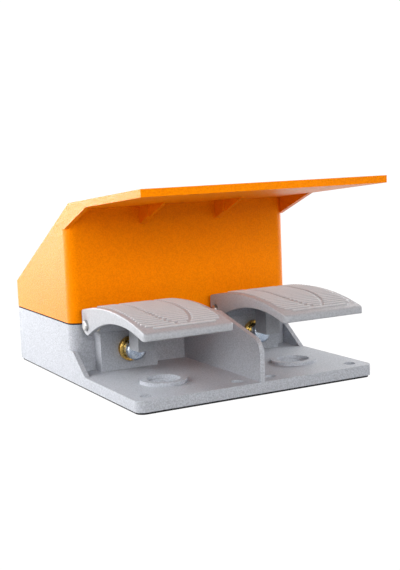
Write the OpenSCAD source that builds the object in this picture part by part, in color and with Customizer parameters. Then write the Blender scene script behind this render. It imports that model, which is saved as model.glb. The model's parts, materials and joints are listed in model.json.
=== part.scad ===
// Twin-pedal industrial foot switch with a cast guard hood.
// Millimetres. X runs across the switch (right is +), the pedals face -Y, Z is up.
// The origin lies on the floor, under the middle of the base.

/* [Base casting] */
// Width of the base and of the hood
base_w = 240; // [225:1:300]
// Depth of the base, front edge to rear wall
base_d = 302; // [290:1:360]
// Depth of the open tray in front of the housing wall
tray_d = 144; // [138:1:160]
// Thickness of the tray plate
plate_t = 9.8; // [8:0.2:14]
// Thickness of the housing floor
floor_t = 6; // [5:0.5:8]
// Height of the housing, up to the gasket
housing_h = 54.5; // [52:0.5:60]
// Wall thickness of the housing
wall_t = 4.5; // [4:0.5:6]
// Radius of the front corners of the tray
tray_corner_r = 8; // [3:0.5:14]
// Radius of the upright front corners of the housing and the hood
housing_corner_r = 11; // [8:0.5:13]
// Radius of their upright rear corners
rear_corner_r = 3; // [1:0.5:13]
// Thickness of the divider between the pedals
divider_t = 4.6; // [4:0.2:8]
// Height of the upright front edge of the divider
divider_front_h = 33; // [28:1:40]
// Radius at the front top corner of the divider
divider_corner_r = 14; // [8:1:16]
// Rise angle of the divider's top edge
divider_rise = 14; // [8:1:16]
// Height of the level rear part of the divider
divider_top_h = 64; // [58:1:66]
// Height of the small side gussets of the base
base_gusset_h = 30; // [22:1:40]
// Reach of the small side gussets of the base
base_gusset_reach = 28; // [20:1:36]

/* [Mat] */
// Thickness of the rubber mat under the base
mat_t = 2; // [1.5:0.5:4]
// Inset of the mat from the edge of the base
mat_inset = 1.5; // [0.5:0.5:6]

/* [Tray rings] */
// Distance from the front edge of the tray to the ring centres
ring_setback = 57; // [45:1:70]
// Outer radius of a ring
ring_r = 21.3; // [18:0.1:24]
// Radius of the recess in a ring
ring_recess_r = 15.2; // [12:0.1:17]
// Height of a ring above the tray
ring_h = 3; // [1:0.5:5]
// Depth of the recess below the top of the ring
ring_recess_depth = 6; // [3:0.5:8]

/* [Fixing holes] */
// Diameter of the floor fixing holes
fixing_d = 6.6; // [5.5:0.1:7]
// Diameter of their counterbores
fixing_cbore_d = 11; // [10:0.5:14]
// Depth of their counterbores
fixing_cbore_depth = 4; // [2:0.5:6]
// Distance from the front edge to the hole centres
fixing_setback = 16.5; // [12:0.5:22]
// Distance between the outer pair of holes
fixing_outer_span = 209; // [190:1:212]
// Distance between the inner pair of holes
fixing_inner_span = 34; // [26:1:60]

/* [Hood] */
// Thickness of the hood walls
hood_t = 4.5; // [4:0.5:6]
// Height of the upright rear face, from the underside of the base
hood_rear_h = 82; // [75:1:100]
// Height of the ridge where the slope meets the roof
ridge_h = 169.5; // [155:0.5:180]
// Distance of the ridge from the front edge of the base
ridge_setback = 134; // [120:1:138]
// Height of the roof's front edge
roof_front_h = 184; // [180:0.5:200]
// Overhang of the roof past the front edge of the base
roof_overhang = 24; // [0:1:40]
// Thickness of the roof plate
roof_t = 6.5; // [5:0.5:8]
// Reach of the gussets under the roof
gusset_reach = 52; // [40:1:70]
// Distance of an end gusset's foot behind the front face of the hood
end_gusset_setback = 4.4; // [0:0.2:8]
// Height at which the gussets meet the hood wall
gusset_foot_h = 145; // [130:1:150]
// Thickness of the two inner gussets
inner_gusset_t = 3.4; // [3:0.2:5]
// Distance between the two inner gussets
inner_gusset_span = 82; // [60:1:110]
// Reach of the thick root of an inner gusset
gusset_root_reach = 18; // [10:1:26]
// Thickness that the root adds on each side
gusset_root_t = 2; // [1:0.5:3]

/* [Gasket] */
// Thickness of the gasket between the housing and the hood
gasket_t = 1.5; // [1:0.5:3]

/* [Hood screws] */
// Distance from the walls to the screw centres
column_inset = 15; // [14.5:0.5:20]
// Radius of the screw columns
column_r = 8; // [7.6:0.1:8.5]
// Radius of the pocket in a column
pocket_r = 5.6; // [5.3:0.1:6]
// Thickness left under the screw head
column_land_t = 5; // [4:0.5:8]
// Thread diameter of the hood screws
hood_screw_d = 5; // [4:0.5:5.5]
// Length of the hood screws
hood_screw_len = 20; // [14:1:26]

/* [Pedals] */
// Distance between the centres of the two pedals
pedal_pitch = 137; // [132:1:140]
// Width of a pedal
pedal_w = 84.5; // [80:0.5:90]
// Distance from the pivot to the front lip
pedal_reach = 128; // [110:1:132]
// Distance from the pivot to the rear edge
pedal_tail = 9.5; // [9:0.1:10]
// Radius of the arched tread
tread_r = 270; // [250:1:300]
// Distance of the tread's crest in front of the pivot
tread_crest_reach = 50; // [44:0.5:62]
// Height of the tread's crest above the pivot
tread_crest_h = 20.4; // [20:0.1:24]
// Thickness of the tread
tread_t = 4; // [3.5:0.1:4.5]
// Thickness of the side flanges
flange_t = 5; // [4:0.5:6]
// Radius of the arch under a flange
arch_r = 149; // [130:1:160]
// Distance of the arch's crest in front of the pivot
arch_crest_reach = 76; // [66:1:80]
// Height of the arch's crest above the pivot
arch_crest_h = 9.6; // [6:0.1:11]
// Radius of the pivot eye of a flange
eye_r = 9.3; // [8.5:0.1:9.5]
// Depth of the solid front lip
lip_depth = 8; // [6:0.5:12]
// Height of the lip's underside above the pivot
lip_foot_h = 2.4; // [1:0.2:5]

/* [Pedal tread ribs] */
// Spacing of the tread ribs
rib_pitch = 4.6; // [4:0.2:6]
// Width of a rib
rib_w = 2.2; // [1.6:0.2:3]
// Height of a rib
rib_h = 1.2; // [0.8:0.1:2]
// Plain margin at each side of the ribs
rib_margin = 5; // [3:0.5:9]
// Plain margin at the front of the ribs
rib_front_margin = 8; // [6:0.5:14]
// Plain margin at the rear of the ribs
rib_rear_margin = 22; // [10:1:40]
// Corner radius of the ribbed field
rib_corner_r = 13; // [6:0.5:20]
// Half width of the tongue between the smooth channels
tongue_half_w = 18; // [12:0.5:24]
// Length of the rounded front of the tongue
tongue_nose = 49; // [30:1:60]
// Width of a smooth channel
channel_w = 3.4; // [2:0.2:5]

/* [Pivots] */
// Height of the pivots above the underside of the base
pivot_h = 55.7; // [54:0.1:57]
// Distance from the housing wall forward to the pivots
pivot_gap = 14.5; // [14:0.1:16]
// Diameter of the pivot pins
pin_d = 9; // [7:0.5:9.5]
// Length by which a pin stands out of its pedal
pin_proud = 2.6; // [2:0.1:4]
// Radius of the pivot hub
hub_r = 8.5; // [7.5:0.1:8.8]
// Width of the pivot hub
hub_w = 62; // [58:1:66]
// Radial running clearance of pins, bushes and plungers
run_clear = 0.05; // [0.02:0.01:0.1]
// Radial wall of a pivot bush
bush_wall = 1; // [1:0.1:1.8]
// Thickness of the collar of a pivot bush
bush_collar_t = 1.2; // [0.8:0.1:2]
// Depth of the round recess in a flange
flange_recess = 2.6; // [1.2:0.1:3]

/* [Pedal stroke] */
// Angle through which a pedal can be pressed
pedal_stroke = 12; // [8:0.5:13]

/* [Switch bosses] */
// Width of a switch boss
boss_w = 58; // [52:1:60]
// Distance by which a boss stands in front of the housing wall
boss_reach = 15; // [14:0.5:18]
// Width of the pedal's push lug
lug_w = 16.5; // [12:0.5:20]
// Distance of the lug's rear face in front of the pivot
lug_back = 19.1; // [18:0.1:20]
// Depth of the lug, front to back
lug_depth = 20; // [14:0.5:24]
// Distance of the lug's lower end below the pivot
lug_drop = 24; // [22:0.5:27]
// Radius of the lug's lower rear edge
lug_nose_r = 3; // [2:0.5:4]

/* [Plungers] */
// Height of the plunger axes above the underside of the base
plunger_h = 29.5; // [27:0.5:31]
// Radius of a plunger
plunger_r = 8.6; // [7.5:0.1:9]
// Radius of the cap on a plunger
cap_r = 9.3; // [8.8:0.1:10]
// Length of the cap
cap_len = 7.5; // [6:0.5:9]
// Length of the guided part of a plunger
guide_len = 20; // [16:0.5:24]
// Radius of the push rod behind the plunger
rod_r = 4; // [3:0.1:4.5]
// Gap between a lug and its plunger cap at rest
contact_gap = 0.1; // [0.05:0.05:0.3]
// Radius of the collar of a guide bush
collar_r = 11.7; // [11.2:0.1:12.5]
// Thickness of the collar of a guide bush
collar_t = 5; // [3:0.5:6]
// Outer radius of the guide bush in the wall
bush_r = 10.5; // [10.1:0.1:11]
// Length of the guide bush behind the boss face
bush_len = 31; // [29:0.5:34]
// Thickness of the end wall of a guide bush
bush_end_t = 3; // [2:0.5:4]
// Wire diameter of the plunger springs
spring_wire = 1.3; // [0.8:0.1:1.5]
// Number of turns of the plunger springs
spring_turns = 6; // [4:1:7]

/* [Contact blocks] */
// Gap between a guide bush and its contact block
block_gap = 15; // [12:1:20]
// Length of a contact block
block_len = 40; // [38:1:50]
// Width of a contact block
block_w = 44; // [42:1:48]
// Height of a contact block
block_h = 36; // [34:1:38]
// Width of the raised middle of a contact block
block_mid_w = 29; // [28:0.5:31]
// Wall thickness of a contact block
block_wall = 4; // [3:0.5:5]
// Thickness of the cover of a contact block
cover_t = 3.5; // [2:0.5:5]
// Height of the terminal shelves above the block's underside
shelf_h = 19.5; // [18.5:0.5:20]
// Sheet thickness of the block bracket
bracket_t = 2; // [1.5:0.5:3]
// Width of a foot of the bracket
bracket_foot = 11; // [10:1:14]
// Thickness of the terminal bars
bar_t = 1.2; // [1:0.1:1.5]

/* [Cable entries] */
// Diameter of the cable entries
entry_d = 20; // [16:1:22]
// Distance between the two cable entries
entry_span = 90; // [70:1:110]
// Height of the cable entries above the underside of the base
entry_h = 30; // [27:1:33]
// Largest cable radius that the gland takes
gland_cable_r = 5; // [3:0.5:6]

/* [Hidden] */

grey = [0.72, 0.73, 0.76];
orange = [1.0, 0.55, 0.05];
zinc = [0.75, 0.77, 0.80];
brass = [0.80, 0.62, 0.25];
black = [0.06, 0.06, 0.07];
ivory = [0.88, 0.86, 0.80];

fine = 48;      // circle sides for small round features
smooth = 96;    // circle sides for larger round features
arc_sides = 360; // circle sides for the long arcs of the pedals
cut = 1;        // length by which a cutter runs past a face
thread_clear = 0.05; // radial gap between a screw and its plain-drawn thread hole

front_y = -base_d / 2;
rear_y = base_d / 2;
wall_y = front_y + tray_d;
base_z = mat_t;
tray_z = base_z + plate_t;
floor_z = base_z + floor_t;
gasket_z = base_z + housing_h;
hood_z = gasket_z + gasket_t;
housing_d = base_d - tray_d;
housing_mid_y = (wall_y + rear_y) / 2;

pivot_y = wall_y - pivot_gap;
pivot_z = base_z + pivot_h;
pin_r = pin_d / 2;
pin_len = pedal_w + 2 * pin_proud;
boss_y = wall_y - boss_reach;
plunger_z = base_z + plunger_h;
cap_y = pivot_y - lug_back + contact_gap;
guide_y = cap_y + cap_len;
rod_y = guide_y + guide_len;
bush_front_y = boss_y - collar_t;
bush_rear_y = boss_y + bush_len;
bore_rear_y = bush_rear_y - bush_end_t;
block_y = bush_rear_y + block_gap;
block_z = plunger_z - block_h / 2;
button_proud = 2.9;
button_y = block_y - button_proud;
rod_end_y = button_y - contact_gap;

// plunger travel for the whole stroke: how far the lug's rounded nose moves back
nose_y = lug_back + lug_nose_r;
nose_z = lug_drop - lug_nose_r;
stroke_travel = nose_y * (1 - cos(pedal_stroke)) + nose_z * sin(pedal_stroke);

ridge_y = front_y + ridge_setback;
ridge_z = base_z + ridge_h;
hood_rear_z = base_z + hood_rear_h;
roof_front_y = front_y - roof_overhang;
roof_front_z = base_z + roof_front_h;
gusset_foot_z = base_z + gusset_foot_h;
// rear end of the roof's own solid, just behind the rounded front corners
roof_back_y = wall_y + housing_corner_r + 3;
roof_rise = (roof_front_z - ridge_z) / (ridge_y - roof_front_y);
slope_fall = (ridge_z - hood_rear_z) / (rear_y - ridge_y);
slope_angle = atan(slope_fall);
// height of the roof's underside at a place y
function roof_under(y) = ridge_z + (ridge_y - y) * roof_rise - roof_t;
// height of the slope's outer face at a place y
function slope_top(y) = ridge_z - (y - ridge_y) * slope_fall;
// height of the slope's inner face at a place y
function slope_under(y) = slope_top(y) - hood_t / cos(slope_angle);

sides = [-1, 1];
column_x = base_w / 2 - column_inset;
column_ys = [wall_y + column_inset, rear_y - column_inset];
hood_screw_r = hood_screw_d / 2;
washer_t = 1;
washer_r = pocket_r - 0.4;
screw_seat_z = hood_z + column_land_t + washer_t;
column_web_t = 3;

shelf_z = block_z + shelf_h;
cover_z = block_z + block_h - cover_t;
cavity_w = block_mid_w - 4;
cavity_y = block_y + block_wall;
cavity_rear_y = block_y + block_len - block_wall;
carrier_y = cavity_y + 2;
carrier_len = 16;
carrier_w = 14;
cavity_z = plunger_z - carrier_w / 2 - 0.3;
bridge_y = block_y + 13.3;
bridge_t = 1.2;
bar_len = 6.5;
bar_ys = [bridge_y - bar_len - 0.3, bridge_y + bridge_t + stroke_travel + 0.3];
bar_in_x = 8.5;
block_screw_r = 1.75;
block_screw_x = block_w / 2 - 4.2;
block_screw_head_r = 3;
block_screw_inset = block_screw_head_r + 0.2;
bracket_screw_r = 2;
bracket_screw_depth = floor_t - 1.5;

earth_y = wall_y + wall_t + 22;
entry_r = entry_d / 2;
entry_z = base_z + entry_h;
entry_seal_t = 1.5;
entry_seal_w = 2.2;
// raised ring round an entry on the inside of the rear wall
entry_ring_w = 5;
entry_ring_t = 1.5;
entry_ring_y = rear_y - wall_t - entry_ring_t;
locknut_t = 4;
// length of the gland's and the plug's thread, from the outside of the wall
entry_thread_len = wall_t + 8;

// ---- shared shapes ----

// flat outline with its own corner radii at the front (-Y) and at the rear
module outline(w, y0, y1, r_front, r_rear) {
    for (s = sides) {
        translate([s * (w / 2 - r_front), y0 + r_front]) circle(r_front, $fn = fine);
        translate([s * (w / 2 - r_rear), y1 - r_rear]) circle(r_rear, $fn = fine);
    }
    translate([-(w / 2 - r_front), y0]) square([w - 2 * r_front, y1 - y0 - r_rear]);
    translate([-(w / 2 - r_rear), y1 - 2 * r_rear]) square([w - 2 * r_rear, 2 * r_rear]);
    translate([-w / 2, y0 + r_front]) square([w, y1 - y0 - r_front - r_rear]);
}

// outline of the housing, drawn in by an inset
module housing_outline(inset = 0) {
    outline(base_w - 2 * inset, wall_y + inset, rear_y - inset,
            housing_corner_r - inset, max(rear_corner_r - inset, 0.5));
}

// a profile drawn in Y and Z, extruded across the switch and centred on X
module across(w) {
    translate([-w / 2, 0, 0]) rotate([90, 0, 90]) linear_extrude(w) children();
}

// a cylinder along +Y from a given place
module rod_along_y(r, y0, y1, sides_n = smooth) {
    translate([0, y0, 0]) rotate([-90, 0, 0]) cylinder(h = y1 - y0, r = r, $fn = sides_n);
}

// a cylinder along X, centred
module rod_along_x(r, w) {
    rotate([0, 90, 0]) cylinder(h = w, r = r, center = true, $fn = smooth);
}

// a hexagonal bar along +Y, by its width across flats
module hex_along_y(af, y0, y1) {
    translate([0, y0, 0]) rotate([-90, 0, 0]) cylinder(h = y1 - y0, d = af / cos(30), $fn = 6);
}

// a pan-head screw that points down, with its seat at z = 0
module pan_screw(r, len, head_r, head_h) {
    difference() {
        union() {
            cylinder(h = head_h, r = head_r, $fn = fine);
            translate([0, 0, -len]) cylinder(h = len, r = r, $fn = fine);
        }
        for (a = [0, 90]) rotate(a)
            translate([-head_r * 0.55, -r * 0.2, head_h * 0.45]) cube([head_r * 1.1, r * 0.4, head_h]);
    }
}

// points of a circle of wire round a place on a coil
function ring_points(r, wire, angle, y, n) = [
    for (k = [0 : n - 1])
        let (a = 360 * k / n, reach = r + wire * cos(a))
            [reach * cos(angle), y + wire * sin(a), reach * sin(angle)]];

// a coil along +Y: mean radius, wire radius, start, length and number of turns
module coil(r, wire, y0, len, turns) {
    n = 6;
    steps = turns * 12;
    pitch = (len - 2 * wire) / turns;
    points = [for (i = [0 : steps])
        each ring_points(r, wire, 360 * turns * i / steps, y0 + wire + pitch * turns * i / steps, n)];
    walls = [for (i = [0 : steps - 1], k = [0 : n - 1])
        let (a = i * n + k, b = i * n + (k + 1) % n)
            [a, a + n, b + n, b]];
    polyhedron(points, concat([[for (k = [0 : n - 1]) k]], walls,
                              [[for (k = [n - 1 : -1 : 0]) steps * n + k]]));
}

// ---- base ----

// side view of the divider between the pedals
module divider_profile() {
    corner_y = front_y + divider_corner_r;
    corner_z = tray_z + divider_front_h - divider_corner_r * 0.6;
    rise_z = corner_z + divider_corner_r * cos(divider_rise);
    rise_y = corner_y - divider_corner_r * sin(divider_rise);
    top_z = base_z + divider_top_h;
    top_y = rise_y + (top_z - rise_z) / tan(divider_rise);
    translate([corner_y, corner_z]) circle(divider_corner_r, $fn = smooth);
    polygon([[front_y, tray_z - cut], [front_y, corner_z], [corner_y, corner_z], [rise_y, rise_z],
             [top_y, top_z], [wall_y - 0.4, top_z], [wall_y - 0.4, gasket_z - 2],
             [wall_y + cut, gasket_z - 2], [wall_y + cut, tray_z - cut]]);
}

// block and hub that carry one pedal and one plunger
module switch_boss() {
    boss_gap = 0.4;
    translate([-boss_w / 2, boss_y, tray_z - cut])
        cube([boss_w, boss_reach - boss_gap, pivot_z + 3 - tray_z + cut]);
    translate([-boss_w / 2, boss_y, tray_z - cut])
        cube([boss_w, boss_reach + cut, gasket_z - 2 - tray_z + cut]);
    translate([0, pivot_y, pivot_z]) rod_along_x(hub_r, hub_w);
    translate([-hub_w / 2, pivot_y, pivot_z - hub_r])
        cube([hub_w, pivot_gap - boss_gap, 1.5 * hub_r]);
}

module tray_ring() {
    translate([0, 0, tray_z - cut]) cylinder(h = ring_h + cut, r = ring_r, $fn = smooth);
}

module ring_recess() {
    step = 2;
    top = tray_z + ring_h;
    translate([0, 0, top - ring_recess_depth])
        cylinder(h = ring_recess_depth + cut, r = ring_recess_r - step, $fn = smooth);
    translate([0, 0, top - ring_recess_depth / 2])
        cylinder(h = ring_recess_depth / 2 + cut, r = ring_recess_r, $fn = smooth);
}

fixing_xs = [-fixing_outer_span / 2, -fixing_inner_span / 2, fixing_inner_span / 2, fixing_outer_span / 2];

module base_gusset() {
    across(wall_t) polygon([[wall_y - base_gusset_reach, tray_z - cut], [wall_y - base_gusset_reach, tray_z],
                            [wall_y, base_z + base_gusset_h], [wall_y + housing_corner_r, base_z + base_gusset_h],
                            [wall_y + housing_corner_r, tray_z - cut]]);
}

module screw_post(x, y, r, top) {
    translate([x, y, floor_z - cut]) cylinder(h = top - floor_z + cut, r = r, $fn = fine);
}

module base_casting() {
    color(grey) difference() {
        union() {
            translate([0, 0, base_z]) linear_extrude(plate_t)
                outline(base_w, front_y, wall_y + 2 * housing_corner_r, tray_corner_r, housing_corner_r);
            difference() {
                translate([0, 0, base_z]) linear_extrude(housing_h) housing_outline();
                translate([0, 0, floor_z]) linear_extrude(housing_h) housing_outline(wall_t);
            }
            translate([-base_w / 2, wall_y, base_z]) cube([base_w, wall_t, plate_t]);
            across(divider_t) divider_profile();
            for (s = sides) {
                translate([s * (base_w - wall_t) / 2, 0, 0]) base_gusset();
                translate([s * pedal_pitch / 2, 0, 0]) switch_boss();
                translate([s * pedal_pitch / 2, front_y + ring_setback, 0]) tray_ring();
                for (y = column_ys) {
                    screw_post(s * column_x, y, column_r - 1, gasket_z);
                    translate([s * (column_x + column_inset / 2 - 1) - column_inset / 2, y - column_web_t / 2,
                               floor_z - cut]) cube([column_inset, column_web_t, gasket_z - floor_z + cut]);
                }
            }
            screw_post(0, earth_y, 6, floor_z + 6);
            for (s = sides) translate([s * entry_span / 2, 0, entry_z])
                rod_along_y(entry_r + entry_ring_w, entry_ring_y, rear_y - cut);
        }
        for (s = sides) {
            translate([s * pedal_pitch / 2, front_y + ring_setback, 0]) ring_recess();
            translate([s * pedal_pitch / 2, pivot_y, pivot_z]) rod_along_x(pin_r, hub_w + 2 * cut);
            translate([s * pedal_pitch / 2, 0, plunger_z])
                rod_along_y(bush_r, boss_y - cut, wall_y + wall_t + cut);
            translate([s * entry_span / 2, 0, entry_z])
                rod_along_y(entry_r, entry_ring_y - cut, rear_y + cut);
            for (y = column_ys) translate([s * column_x, y, gasket_z - hood_screw_len])
                cylinder(h = hood_screw_len + cut, r = hood_screw_r + thread_clear, $fn = fine);
            bracket_screw_places(s) translate([0, 0, floor_z - bracket_screw_depth])
                cylinder(h = bracket_screw_depth + cut, r = bracket_screw_r + thread_clear, $fn = fine);
        }
        for (x = fixing_xs) translate([x, front_y + fixing_setback, 0]) {
            translate([0, 0, base_z - cut]) cylinder(h = plate_t + 2 * cut, d = fixing_d, $fn = fine);
            translate([0, 0, tray_z - fixing_cbore_depth])
                cylinder(h = fixing_cbore_depth + cut, d = fixing_cbore_d, $fn = fine);
        }
        translate([0, earth_y, floor_z - 2])
            cylinder(h = 8 + cut, r = hood_screw_r + thread_clear, $fn = fine);
    }
}

module base_mat() {
    color(black) difference() {
        linear_extrude(mat_t)
            outline(base_w - 2 * mat_inset, front_y + mat_inset, rear_y - mat_inset,
                    tray_corner_r - mat_inset / 2, rear_corner_r);
        for (x = fixing_xs) translate([x, front_y + fixing_setback, -cut])
            cylinder(h = mat_t + 2 * cut, d = fixing_cbore_d, $fn = fine);
    }
}

module cover_gasket() {
    seal_w = wall_t - 0.6;
    color(black) difference() {
        translate([0, 0, gasket_z]) linear_extrude(gasket_t) difference() {
            union() {
                difference() {
                    housing_outline(0.3);
                    housing_outline(0.3 + seal_w);
                }
                for (s = sides, y = column_ys) translate([s * column_x, y]) {
                    circle(column_r - 1, $fn = fine);
                    translate([s > 0 ? 0 : -column_inset + 2, -column_web_t / 2])
                        square([column_inset - 2, column_web_t]);
                }
            }
            for (s = sides, y = column_ys)
                translate([s * column_x, y]) circle(hood_screw_r + 0.5, $fn = fine);
        }
    }
}

// ---- hood ----

// side view of the outer shape over the housing, stepped down under the rear end of the roof
module hood_outer_profile() {
    drop = 2;
    y = roof_back_y - 1;
    polygon([[wall_y, hood_z], [wall_y, slope_top(wall_y) - drop], [y, slope_top(y) - drop],
             [y, slope_top(y)], [rear_y, hood_rear_z], [rear_y, hood_z]]);
}

// side view of the space that the screw columns fill, up to the middle of the slope
module hood_column_profile() {
    drop = hood_t / 2;
    polygon([[wall_y, hood_z], [wall_y, slope_top(wall_y) - drop], [rear_y, hood_rear_z - drop],
             [rear_y, hood_z]]);
}

// side view of the hollow over the housing
module hood_inner_profile() {
    inner_wall_y = wall_y + hood_t;
    inner_rear_y = rear_y - hood_t;
    polygon([[inner_wall_y, hood_z - cut], [inner_wall_y, slope_under(inner_wall_y)],
             [inner_rear_y, slope_under(inner_rear_y)], [inner_rear_y, hood_z - cut]]);
}

// side view of the roof plate and the top of the slope
module roof_profile() {
    y = wall_y + 1;
    polygon([[ridge_y, ridge_z], [roof_front_y, roof_front_z], [roof_front_y, roof_front_z - roof_t],
             [y, roof_under(y)], [roof_back_y, slope_under(roof_back_y) + 1],
             [roof_back_y, slope_top(roof_back_y)]]);
}

// side view of a gusset under the roof
module gusset_profile(reach) {
    y = wall_y - reach;
    drop = gusset_foot_z + (roof_under(wall_y - gusset_reach) - gusset_foot_z) * reach / gusset_reach;
    polygon([[wall_y + cut, gusset_foot_z], [wall_y, gusset_foot_z], [y, drop], [y, roof_under(y) + cut],
             [wall_y + cut, roof_under(wall_y) + cut]]);
}

// side view of an end gusset, carried back past the rounded corner of the hood
module end_gusset_profile() {
    tip_y = wall_y - gusset_reach;
    polygon([[wall_y + end_gusset_setback, gusset_foot_z], [tip_y, roof_under(tip_y)],
             [tip_y, roof_under(tip_y) + cut],
             [ridge_y, ridge_z - cut], [roof_back_y, slope_top(roof_back_y) - cut],
             [roof_back_y, gusset_foot_z]]);
}

module hood() {
    color(orange) difference() {
        union() {
            difference() {
                intersection() {
                    translate([0, 0, hood_z]) linear_extrude(ridge_h) housing_outline();
                    across(base_w) hood_outer_profile();
                }
                intersection() {
                    translate([0, 0, hood_z - cut]) linear_extrude(ridge_h) housing_outline(hood_t);
                    across(base_w) hood_inner_profile();
                }
            }
            intersection() {
                for (s = sides, y = column_ys) translate([s * column_x, y, hood_z]) {
                    cylinder(h = ridge_h, r = column_r, $fn = fine);
                    translate([s > 0 ? 0 : -column_inset + 1, -column_web_t / 2, 0])
                        cube([column_inset - 1, column_web_t, ridge_h]);
                }
                across(base_w) hood_column_profile();
            }
            across(base_w) roof_profile();
            for (s = sides) {
                translate([s * (base_w - hood_t) / 2, 0, 0]) across(hood_t) end_gusset_profile();
                translate([s * inner_gusset_span / 2, 0, 0]) {
                    across(inner_gusset_t) gusset_profile(gusset_reach);
                    across(inner_gusset_t + 2 * gusset_root_t) gusset_profile(gusset_root_reach);
                }
            }
        }
        for (s = sides, y = column_ys) translate([s * column_x, y, 0]) {
            translate([0, 0, hood_z - cut]) cylinder(h = ridge_h, r = hood_screw_r + 0.3, $fn = fine);
            translate([0, 0, hood_z + column_land_t]) cylinder(h = ridge_h, r = pocket_r, $fn = fine);
        }
    }
}

module hood_screws() {
    color(zinc) for (s = sides, y = column_ys) translate([s * column_x, y, screw_seat_z])
        pan_screw(hood_screw_r, hood_screw_len + column_land_t + washer_t - 4, pocket_r - 0.8, 3.4);
}

module hood_screw_washers() {
    color(black) for (s = sides, y = column_ys) translate([s * column_x, y, screw_seat_z - washer_t])
        difference() {
            cylinder(h = washer_t, r = washer_r, $fn = fine);
            translate([0, 0, -cut]) cylinder(h = washer_t + 2 * cut, r = hood_screw_r + 0.1, $fn = fine);
        }
}

// ---- pedals: drawn round the pivot, then set in place ----

module at_pivot(side) {
    translate([side * pedal_pitch / 2, pivot_y, pivot_z]) children();
}

module tread_disc(r) {
    translate([-tread_crest_reach, tread_crest_h - tread_r]) circle(r, $fn = arc_sides);
}

// side view of a pedal: between the tread's arc and the arch, with the pivot eye
module pedal_profile() {
    intersection() {
        difference() {
            tread_disc(tread_r);
            translate([-arch_crest_reach, arch_crest_h - arch_r]) circle(arch_r, $fn = arc_sides);
            translate([-pedal_reach - cut, -2 * arch_r])
                square([pedal_reach + cut - arch_crest_reach, 2 * arch_r + lip_foot_h]);
        }
        translate([-pedal_reach, -eye_r]) square([pedal_reach, tread_crest_h + 2 * eye_r]);
    }
    circle(eye_r, $fn = smooth);
    intersection() {
        tread_disc(tread_r);
        translate([-eye_r * 0.7, 0]) square([eye_r * 0.7 + pedal_tail, tread_crest_h + cut]);
    }
}

// side view of the hollow under the tread
module pedal_hollow_profile() {
    intersection() {
        tread_disc(tread_r - tread_t);
        translate([-pedal_reach + lip_depth, -4 * eye_r])
            square([pedal_reach + pedal_tail + cut - lip_depth, 8 * eye_r]);
    }
}

// half length of a rib at a distance d behind the front of the ribbed field
function rib_half(d) = pedal_w / 2 - rib_margin
    - (d < rib_corner_r ? rib_corner_r - sqrt(rib_corner_r ^ 2 - (rib_corner_r - d) ^ 2) : 0);
// half width of the tongue at a distance d behind the front of the ribbed field
function tongue_half(d) = d < 3 ? 0
    : d - 3 < tongue_nose ? tongue_half_w * sqrt(1 - ((tongue_nose - d + 3) / tongue_nose) ^ 2)
    : tongue_half_w;

// one straight piece of rib from x0 to x1, at an angle round the tread's centre
module rib_piece(x0, x1, angle) {
    translate([0, -tread_crest_reach, tread_crest_h - tread_r]) rotate([angle, 0, 0])
        translate([x0, -rib_w / 2, tread_r - cut]) cube([x1 - x0, rib_w, rib_h + cut]);
}

module tread_ribs() {
    field = pedal_reach + pedal_tail - rib_front_margin - rib_rear_margin - rib_w;
    count = floor(field / rib_pitch);
    for (i = [0 : count]) {
        d = i * rib_pitch + rib_w / 2;
        y = -pedal_reach + rib_front_margin + d;
        angle = -asin((y + tread_crest_reach) / tread_r);
        inner = tongue_half(d) - channel_w / 2;
        outer = inner + channel_w;
        if (inner < 1) {
            rib_piece(-rib_half(d), rib_half(d), angle);
        } else {
            rib_piece(-inner, inner, angle);
            rib_piece(-rib_half(d), -outer, angle);
            rib_piece(outer, rib_half(d), angle);
        }
    }
}

// the lug under the tread that pushes the plunger
module push_lug() {
    across(lug_w) {
        intersection() {
            tread_disc(tread_r - tread_t / 2);
            translate([-lug_back - lug_depth, -nose_z]) square([lug_depth, lug_drop + tread_crest_h]);
        }
        translate([-lug_back - lug_depth, -lug_drop]) square([lug_depth - lug_nose_r, lug_drop]);
        translate([-nose_y, -nose_z]) circle(lug_nose_r, $fn = fine);
    }
}

module pedal(side) {
    color(grey) at_pivot(side) difference() {
        union() {
            difference() {
                across(pedal_w) pedal_profile();
                across(pedal_w - 2 * flange_t) pedal_hollow_profile();
            }
            push_lug();
            tread_ribs();
        }
        rod_along_x(pin_r + run_clear + bush_wall, pedal_w + 2 * cut);
    }
}

bush_outer_r = pin_r + run_clear + bush_wall;
spacer_len = (pedal_w - hub_w) / 2 - flange_t - bush_collar_t - 2 * contact_gap;

module pivot_bushes(side) {
    color(brass) at_pivot(side) for (s = sides) mirror([s < 0 ? 1 : 0, 0, 0]) difference() {
        union() {
            translate([pedal_w / 2 - flange_t, 0, 0]) rotate([0, 90, 0])
                cylinder(h = flange_t - flange_recess, r = bush_outer_r - 0.02, $fn = smooth);
            translate([pedal_w / 2 - flange_t - bush_collar_t, 0, 0]) rotate([0, 90, 0])
                cylinder(h = bush_collar_t, r = bush_outer_r + 2, $fn = smooth);
        }
        rod_along_x(pin_r + run_clear, pedal_w + 2 * cut);
    }
}

clip_t = 0.8;
clip_x = pedal_w / 2 - flange_recess + 0.2;
clip_groove_r = pin_r - 0.7;

module pivot_pin(side) {
    chamfer = 0.6;
    color(zinc) at_pivot(side) difference() {
        union() {
            rod_along_x(pin_r, pin_len - 2 * chamfer);
            for (s = sides) translate([s * (pin_len / 2 - chamfer), 0, 0]) rotate([0, s * 90, 0])
                cylinder(h = chamfer, r1 = pin_r, r2 = pin_r - chamfer, $fn = smooth);
        }
        for (s = sides) translate([s * (clip_x + clip_t / 2), 0, 0]) difference() {
            rod_along_x(pin_r + cut, clip_t + 0.1);
            rod_along_x(clip_groove_r, clip_t + cut);
        }
    }
}

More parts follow.
